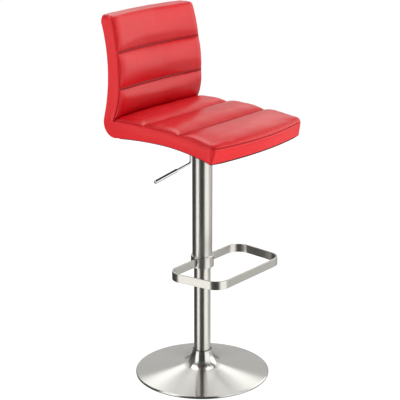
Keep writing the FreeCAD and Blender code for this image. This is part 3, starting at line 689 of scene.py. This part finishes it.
def stitch_rows(name, rows):
    """One piece with all rows of stitches; a row is (points, outward directions)."""
    points, faces = [], []
    for line, outs in rows:
        steps = np.linalg.norm(np.diff(line, axis=0), axis=1)
        along = np.concatenate([[0.0], np.cumsum(steps)])
        for number in range(int(along[-1] / STITCH_PITCH)):
            start = (number + 0.5) * STITCH_PITCH
            faces += tube_faces(len(points), len(STITCH_SHAPE), STITCH_SIDES)
            points += stitch_rings(read_along(start, along, line),
                                   read_along(start + STITCH_LENGTH, along, line),
                                   read_along(start, along, outs))
    return mesh_piece(name, points, faces)


def corner_welts():
    """Thin welts down the seat's front corners, where the side panels meet the front one."""
    points, faces = [], []
    turns = [2 * math.pi * k / WELT_SIDES for k in range(WELT_SIDES)]
    for side in (1.0, -1.0):
        faces += tube_faces(len(points), WELT_RINGS, WELT_SIDES)
        for z in np.linspace(rear_foot_z + WELT_RADIUS, seat_line_z(front_corner_y), WELT_RINGS):
            x = side * (FRONT_HALF_WIDTH - WELT_SINK)
            centre = Vector((x, front_y(FRONT_HALF_WIDTH, z) + WELT_SINK, z))
            points += [centre + WELT_RADIUS * Vector((math.cos(t), math.sin(t), 0)) for t in turns]
    piece = mesh_piece("corner_welts", points, faces)
    # painted shade: the welts take part of the seam shade all along
    note_gaps(piece, np.full(len(points), STITCH_SHADE))
    return piece


# ---- rear panel and under cover -------------------------------------------------------------
def rear_panel():
    stop = len([p for p in rear_points if p[1] > REAR_CORNER_Z or p[0] > REAR_PANEL_END_Y])
    line = Outline(rear_points[:stop])
    along = np.linspace(0, line.length, 90)
    yz = line.at(along)
    shares = np.linspace(-1, 1, 61)
    x = shares[None, :] * (half_width(yz[:, 0], yz[:, 1])[:, None] - EDGE_ROUND)
    bow = REAR_BOW * (1 - shares[None, :] ** 2)
    points = np.stack([x, yz[:, 0][:, None] + bow, yz[:, 1][:, None] + 0 * x], -1)
    piece = mesh_piece("rear_panel", points.reshape(-1, 3), grid_faces(*points.shape[:2]))
    # painted shade along the rear panel's sides and its top end
    from_side = (1 - np.abs(shares)[None, :]) * JUNCTION_HALF_WIDTH
    note_gaps(piece, np.minimum(from_side, along[:, None]))
    return piece


def underside():
    """Cover under the seat, with an opening for the mounting plate whose sides go up to the shell."""
    plate = node_box["seat_plate"]
    half_x, half_y = plate[1][0] + OPENING_ROOM, plate[1][1] + OPENING_ROOM
    line_y = np.concatenate([np.linspace(REAR_PANEL_END_Y, half_y, REAR_STEPS),
                             np.linspace(half_y, -half_y, OPENING_STEPS + 1)[1:],
                             np.linspace(-half_y, SEAT_FRONT_Y + COVER_FRONT_GAP, FRONT_STEPS)[1:]])
    inner = np.tile(np.linspace(-half_x, half_x, OPENING_COLUMNS + 1), (len(line_y), 1))
    flank = (seat_half_width(line_y) - EDGE_ROUND - half_x)[:, None]
    outer = half_x + flank * np.linspace(0, 1, FLANK_COLUMNS + 1)[1:]
    x = np.concatenate([-outer[:, ::-1], inner, outer], 1)
    # the rear and front edges follow the rear and front panels, which are bowed in plan
    behind = np.clip((line_y - half_y) / (REAR_PANEL_END_Y - half_y), 0, 1)[:, None]
    bow = REAR_BOW * behind * (1 - (x / seat_half_width(REAR_PANEL_END_Y)) ** 2)
    ahead = np.clip((line_y + half_y) / (SEAT_FRONT_Y + half_y), 0, 1)[:, None]
    forward = FRONT_BOW * ahead * (1 - (x / FRONT_HALF_WIDTH) ** 2)
    below = [p for p in rear_points if p[1] < UNDERSIDE_TOP_Z]
    z = np.interp(forward - line_y[:, None], [-p[0] for p in below], [p[1] for p in below])
    grid = np.stack([x, line_y[:, None] + bow - forward, z - COVER_DROP], -1)
    rows, columns = x.shape
    left, right = FLANK_COLUMNS, FLANK_COLUMNS + OPENING_COLUMNS
    top, foot = REAR_STEPS - 1, REAR_STEPS - 1 + OPENING_STEPS
    faces = [f for f in grid_faces(rows, columns)
             if not (top <= f[0] // columns < foot and left <= f[0] % columns < right)]
    points = list(grid.reshape(-1, 3))
    loop = [(top, c) for c in range(left, right)] + [(r, right) for r in range(top, foot)]
    loop += [(foot, c) for c in range(right, left, -1)] + [(r, left) for r in range(foot, top, -1)]
    ids = [r * columns + c for r, c in loop]
    first = len(points)
    points += [(points[k][0], points[k][1], plate[1][2] - OPENING_SINK) for k in ids]
    for k, (a, b) in enumerate(zip(ids, ids[1:] + ids[:1])):
        faces.append((b, a, first + k, first + (k + 1) % len(ids)))
    return mesh_piece("under_cover", points, faces)


# ---- materials ------------------------------------------------------------------------------
def material(name, colour, roughness, metallic=0.0):
    made = bpy.data.materials.new(name)
    made.use_nodes = True
    shader = made.node_tree.nodes["Principled BSDF"]
    shader.inputs["Base Color"].default_value = (*colour, 1.0)
    shader.inputs["Roughness"].default_value = roughness
    shader.inputs["Metallic"].default_value = metallic
    return made, made.node_tree, shader


def mapped(tree, scale):
    place = tree.nodes.new("ShaderNodeTexCoord")
    mapping = tree.nodes.new("ShaderNodeMapping")
    mapping.inputs["Scale"].default_value = scale
    tree.links.new(place.outputs["Object"], mapping.inputs["Vector"])
    return mapping.outputs["Vector"]


def noise_node(tree, vector, scale, detail=4.0):
    node = tree.nodes.new("ShaderNodeTexNoise")
    node.inputs["Scale"].default_value = scale
    node.inputs["Detail"].default_value = detail
    tree.links.new(vector, node.inputs["Vector"])
    return node.outputs["Fac"]


def ranged(tree, value, low, high, start=0.3, stop=0.7):
    node = tree.nodes.new("ShaderNodeMapRange")
    for key, number in (("From Min", start), ("From Max", stop), ("To Min", low), ("To Max", high)):
        node.inputs[key].default_value = number
    tree.links.new(value, node.inputs["Value"])
    return node.outputs["Result"]


def two_colours(tree, value, first, second):
    ramp = tree.nodes.new("ShaderNodeValToRGB")
    ramp.color_ramp.elements[0].position = 0.3
    ramp.color_ramp.elements[1].position = 0.7
    ramp.color_ramp.elements[0].color = (*first, 1.0)
    ramp.color_ramp.elements[1].color = (*second, 1.0)
    tree.links.new(value, ramp.inputs["Fac"])
    return ramp.outputs["Color"]


def bump(tree, height, strength, distance, under=None):
    node = tree.nodes.new("ShaderNodeBump")
    node.inputs["Strength"].default_value = strength
    node.inputs["Distance"].default_value = distance
    tree.links.new(height, node.inputs["Height"])
    if under is not None:
        tree.links.new(under, node.inputs["Normal"])
    return node.outputs["Normal"]


SEAM_PAINTED_SHADE = 0.60             # painted seam shade: the leather's colour down in a seam, against its open colour
SEAM_SHADE_REACH = (0.0003, 0.0017)    # distances from a seam between which the painted shade fades into the open colour
GRAIN_SCALE = 700.0
LEATHER_ROUGHNESS = (0.29, 0.35)
PLAIN_SCALE = (1.0, 1.0, 1.0)


def leather(name, first, second):
    """Embossed imitation leather, with shade painted into its colour down in its seams."""
    made, tree, shader = material(name, first, 0.42)
    shader.inputs["Specular IOR Level"].default_value = 0.45
    place = mapped(tree, PLAIN_SCALE)
    cells = tree.nodes.new("ShaderNodeTexVoronoi")
    cells.feature = "DISTANCE_TO_EDGE"
    cells.inputs["Scale"].default_value = GRAIN_SCALE
    tree.links.new(place, cells.inputs["Vector"])
    grain = ranged(tree, cells.outputs["Distance"], 0.0, 1.0, 0.0, 0.12)
    soft = noise_node(tree, place, 60.0)
    # painted shade: the colour darkens towards the seams, by each point's distance to the nearest seam
    gap = tree.nodes.new("ShaderNodeAttribute")
    gap.attribute_name = "gap"
    shade = tree.nodes.new("ShaderNodeMix")
    shade.data_type = "RGBA"
    shade.inputs["A"].default_value = (*(part * SEAM_PAINTED_SHADE for part in first), 1)
    away = ranged(tree, gap.outputs["Fac"], 0.0, 1.0, *SEAM_SHADE_REACH)
    tree.links.new(away, shade.inputs["Factor"])
    open_colour = two_colours(tree, noise_node(tree, place, 9.0), first, second)
    tree.links.new(open_colour, shade.inputs["B"])
    tree.links.new(shade.outputs["Result"], shader.inputs["Base Color"])
    uneven = ranged(tree, noise_node(tree, place, 40.0, 1.0), *LEATHER_ROUGHNESS, 0.0, 1.0)
    tree.links.new(uneven, shader.inputs["Roughness"])
    normal = bump(tree, grain, 0.05, 0.0002)
    tree.links.new(bump(tree, soft, 0.07, 0.0006, normal), shader.inputs["Normal"])
    return made


def turned_steel(name, colour, roughness, stretch, brush):
    """Steel brushed round the upright axis; stretch draws its highlights out along the axis."""
    made, tree, shader = material(name, colour, roughness, 1.0)
    shader.inputs["Anisotropic"].default_value = stretch
    shader.inputs["Anisotropic Rotation"].default_value = 0.25
    tangent = tree.nodes.new("ShaderNodeTangent")
    tangent.direction_type = "RADIAL"
    tangent.axis = "Z"
    tree.links.new(tangent.outputs["Tangent"], shader.inputs["Tangent"])
    lines = noise_node(tree, mapped(tree, brush), 1.0, 3.0)
    tree.links.new(ranged(tree, lines, roughness - 0.02, roughness + 0.02), shader.inputs["Roughness"])
    tree.links.new(bump(tree, lines, 0.02, 0.00002), shader.inputs["Normal"])
    return made


def plain(name, colour, roughness, metallic=0.0, scale=120.0):
    """Finish with a little unevenness in roughness and height."""
    made, tree, shader = material(name, colour, roughness, metallic)
    speck = noise_node(tree, mapped(tree, PLAIN_SCALE), scale)
    uneven = ranged(tree, speck, roughness * 0.85, roughness * 1.15)
    tree.links.new(uneven, shader.inputs["Roughness"])
    tree.links.new(bump(tree, speck, 0.08, 0.0003), shader.inputs["Normal"])
    return made


finishes = {
    "brushed_steel": turned_steel("turned_steel", (0.66, 0.65, 0.62), 0.33, 0.60, (3.0, 3.0, 900.0)),
    "chrome": plain("chrome_plate", (0.82, 0.82, 0.83), 0.07, 1.0, 30.0),
    "plain_steel": plain("zinc_steel", (0.50, 0.50, 0.51), 0.35, 1.0),
    "cast_iron": plain("cast_iron", (0.10, 0.10, 0.105), 0.8, 0.0, 400.0),
    "black_rubber": plain("black_rubber", (0.018, 0.018, 0.019), 0.6, 0.0, 300.0),
    "black_plastic": plain("black_plastic", (0.03, 0.03, 0.032), 0.4, 0.0, 500.0),
    "black_paint": plain("black_paint", (0.03, 0.03, 0.032), 0.35, 0.0, 700.0),
    "plywood": plain("plywood", (0.55, 0.38, 0.22), 0.6, 0.0, 80.0),
    # pads and panels are one red leather in two copies: the panels' copy is painted lighter, standing
    # in for the stronger light on the side and front bands
    "red_padding": leather("red_pad_leather", (0.56, 0.002, 0.008), (0.61, 0.004, 0.010)),
    "red_cover": leather("red_cover_leather_painted_lighter", (0.74, 0.006, 0.012), (0.79, 0.008, 0.014)),
    "black_cloth": plain("black_cloth", (0.02, 0.02, 0.021), 0.9, 0.0, 900.0),
}
dish_steel = turned_steel("dish_steel", (0.66, 0.66, 0.645), 0.20, 0.94, (2.0, 2.0, 2.0))


def finish_piece(piece, slot):
    """Gives a piece of the upholstery its material and lets it move with the seat."""
    piece.data.materials.clear()
    piece.data.materials.append(finishes[slot])
    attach(piece, "seat")


# ---- rounded corners ------------------------------------------------------------------------
def rounded(across, along, radius):
    """Pulls a square corner to a round one; both distances are counted from its two sides."""
    a = np.clip(1 - across / radius, 0, 1)
    b = np.clip(1 - along / radius, 0, 1)
    return (np.where(across < radius, radius * (1 - a * np.sqrt(1 - b * b / 2)), across),
            np.where(along < radius, radius * (1 - b * np.sqrt(1 - a * a / 2)), along))


def round_corners(piece):
    """Rounds the seat's front corners in plan and the back's top corners in front view."""
    mesh = piece.data
    points = np.array([v.co for v in mesh.vertices])
    x, y, z = points.T
    side = np.sign(x)
    on_seat = z < ON_SEAT_HEIGHT
    width = half_width(y, z)
    height = np.clip((z - SEAT_FRONT_FOOT_Z) / (SEAT_TOP_EDGE_Z - SEAT_FRONT_FOOT_Z), 0, 1)
    corner = SEAT_CORNER_FOOT + (SEAT_CORNER_TOP - SEAT_CORNER_FOOT) * height
    across, along = rounded(width - np.abs(x), y - front_y(x, z), corner)
    seat_x = side * (width - across)
    seat_y = front_y(x, z) + along
    across, along = rounded(width - np.abs(x), TOP_HEIGHT - z, BACK_CORNER)
    top_x = side * (width - across)
    top_z = TOP_HEIGHT - along
    points = np.column_stack([np.where(on_seat, seat_x, top_x), np.where(on_seat, seat_y, y),
                              np.where(on_seat, z, top_z)])
    mesh.vertices.foreach_set("co", points.ravel())
    mesh.update()


# ---- make the upholstery --------------------------------------------------------------------
back_pad = make_back_pad()
seat_pad = make_seat_pad()
inflate(back_pad)
inflate(seat_pad)
for pad, above in ((back_pad, True), (seat_pad, False)):
    part_at_crease(pad, above)
    round_corners(pad)
    refined(pad)
    sewn(pad)
    finish_piece(pad, "red_padding")
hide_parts("back_cushion")
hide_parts("seat_cushion")

panels = {
    "side_band_left": side_panel("left_side_panel", 1.0),
    "side_band_right": side_panel("right_side_panel", -1.0),
    "front_band": front_panel(),
    "back_panel": rear_panel(),
}
for node, panel in panels.items():
    round_corners(panel)
    thickened(facing(panel, INSIDE), COVER_THICKNESS)
    finish_piece(panel, "red_cover")
    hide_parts(node)
welts = corner_welts()
round_corners(welts)
finish_piece(welts, "red_cover")
stitches = stitch_rows("stitching", stitch_lines)
round_corners(stitches)
finish_piece(stitches, "red_cover")
stitches.data.materials[0] = plain("red_thread", (0.62, 0.02, 0.03), 0.55, 0.0, 900.0)
under = thickened(facing(underside(), INSIDE), COVER_THICKNESS)
finish_piece(under, "black_cloth")
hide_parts("bottom_cover")

slot_of = {part["node"]: part["material_slot"] for part in frame["record"]["subparts"]}
for name, node in frame["nodes"].items():
    node.data.materials.clear()
    node.data.materials.append(dish_steel if name == "base_cover" else finishes[slot_of[name]])

# ---- floor, light and camera ----------------------------------------------------------------
CAMERA_AZIMUTH = -51.85
CAMERA_DISTANCE = 3.800
CAMERA_HEIGHT = 1.7163
CAMERA_PITCH = 17.04
CAMERA_LENS = 120.3
CAMERA_SHIFT = -0.0057
FLOOR_HALF = 9.0
AIM_HEIGHT = 0.6             # the lamps are aimed at this height on the column
# soft lamps: azimuth from the camera's side, distance, height, size, power
LAMPS = (
    ("key_light", 84, 2.6, 1.7, (1.2, 1.2), 22),
    ("fill_light", -82, 2.6, 1.0, (1.2, 1.2), 15),
    ("low_light", 30, 2.4, 0.35, (1.2, 0.6), 11),
    ("top_light", 0, 0.3, 3.0, (1.4, 1.4), 30),
)
# reflector cards: azimuth from the camera's side and spread in degrees, height of the low and the
# high edge, brightness, distance of the low and the high edge
CARDS = (
    ("card_middle", 0, 44, -3.0, 4.0, 0.06, 3.0, 3.0),
    ("card_left", -56, 34, -3.0, 4.0, 1.5, 3.0, 3.0),
    ("card_left_dark", -116, 66, -3.0, 0.7, 0.06, 3.0, 3.0),
    ("card_right", 56, 56, -3.0, 4.0, 1.40, 3.0, 3.0),
    ("card_right_rear_low", 113, 50, -3.0, 0.4, 0.60, 3.0, 3.0),
    ("card_right_rear", 108, 44, 0.45, 3.0, 2.1, 3.0, 3.0),
    ("card_rear", 180, 90, 0.1, 1.6, 0.62, 3.0, 3.0),
    ("card_rear_left_streak", 196, 16, 1.75, 2.5, 1.9, 2.99, 2.99),
    ("card_rear_right_streak", 164, 16, 1.75, 2.5, 1.9, 2.99, 2.99),
    ("card_rear_high", 180, 100, 1.6, 3.4, 0.90, 3.0, 3.0),
    ("card_top", 190, 120, 3.6, 3.6, 3.6, 2.4, 0.4),
)
CARD_STEPS = 12
CARD_COLOUR = (1.0, 0.985, 0.95)
CAMERA_LEVEL, DIFFUSE_LEVEL, REFLECTED_LEVEL = 1.15, 0.36, 0.14      # brightness of the surroundings


def around_stool(azimuth, distance, height):
    """Point at an azimuth round the stool: 0 is in front, towards -Y, and 90 towards +X."""
    angle = math.radians(azimuth)
    return Vector((distance * math.sin(angle), -distance * math.cos(angle), height))


def area_light(name, azimuth, distance, height, size, power):
    lamp = bpy.data.lights.new(name, "AREA")
    lamp.shape = "RECTANGLE"
    lamp.size, lamp.size_y = size
    lamp.energy = power
    holder = bpy.data.objects.new(name, lamp)
    bpy.context.scene.collection.objects.link(holder)
    holder.location = around_stool(CAMERA_AZIMUTH + azimuth, distance, height)
    way = Vector((0, 0, AIM_HEIGHT)) - holder.location
    holder.rotation_euler = way.to_track_quat("-Z", "Y").to_euler()
    holder.visible_camera = False
    holder.visible_glossy = False


camera = bpy.data.objects.new("camera", bpy.data.cameras.new("camera"))
bpy.context.scene.collection.objects.link(camera)
camera.location = around_stool(CAMERA_AZIMUTH, CAMERA_DISTANCE, CAMERA_HEIGHT)
camera.rotation_euler = (math.radians(90 - CAMERA_PITCH), 0, math.radians(CAMERA_AZIMUTH))
camera.data.lens = CAMERA_LENS
camera.data.shift_x = CAMERA_SHIFT
bpy.context.scene.camera = camera

corners = [(x * FLOOR_HALF, y * FLOOR_HALF, 0) for x, y in ((-1, -1), (1, -1), (1, 1), (-1, 1))]
floor = mesh_piece("floor", corners, [(0, 1, 2, 3)])
floor_made, _, floor_shader = material("pale_floor", (0.25, 0.25, 0.25), 0.9)
floor_shader.inputs["Specular IOR Level"].default_value = 0.0
floor_shader.inputs["Emission Color"].default_value = (1, 1, 1, 1)
floor_shader.inputs["Emission Strength"].default_value = 0.92
floor.data.materials.append(floor_made)
floor.visible_glossy = False


def studio_card(name, azimuth, spread, low, high, strength, distance, top_distance):
    """Curved card that only reflections see."""
    points = []
    for k in range(CARD_STEPS + 1):
        turn = CAMERA_AZIMUTH + azimuth + spread * (k / CARD_STEPS - 0.5)
        points += [around_stool(turn, distance, low), around_stool(turn, top_distance, high)]
    faces = [(2 * k, 2 * k + 1, 2 * k + 3, 2 * k + 2) for k in range(CARD_STEPS)]
    card = mesh_piece(name, points, faces)
    made = bpy.data.materials.new(name)
    made.use_nodes = True
    shader = made.node_tree.nodes["Principled BSDF"]
    shader.inputs["Base Color"].default_value = (0, 0, 0, 1)
    shader.inputs["Specular IOR Level"].default_value = 0.0
    shader.inputs["Emission Color"].default_value = (*CARD_COLOUR, 1)
    shader.inputs["Emission Strength"].default_value = strength
    card.data.materials.append(made)
    card.visible_camera = False
    card.visible_diffuse = False
    card.visible_shadow = False


def studio_world():
    """White behind the stool, soft ambient light on it, and a dark room for reflections."""
    world = bpy.data.worlds.new("studio")
    bpy.context.scene.world = world
    world.use_nodes = True
    tree = world.node_tree
    tree.nodes.clear()
    path = tree.nodes.new("ShaderNodeLightPath")
    out = tree.nodes.new("ShaderNodeOutputWorld")
    seen = None
    for key, level in ((None, REFLECTED_LEVEL), ("Is Diffuse Ray", DIFFUSE_LEVEL),
                       ("Is Camera Ray", CAMERA_LEVEL)):
        shade = tree.nodes.new("ShaderNodeBackground")
        shade.inputs["Color"].default_value = (level, level, level, 1)
        if key is None:
            seen = shade.outputs[0]
            continue
        mix = tree.nodes.new("ShaderNodeMixShader")
        tree.links.new(path.outputs[key], mix.inputs[0])
        tree.links.new(seen, mix.inputs[1])
        tree.links.new(shade.outputs[0], mix.inputs[2])
        seen = mix.outputs[0]
    tree.links.new(seen, out.inputs["Surface"])


studio_world()
for card in CARDS:
    studio_card(*card)
for lamp in LAMPS:
    area_light(*lamp)

bpy.context.scene.view_settings.view_transform = "Standard"
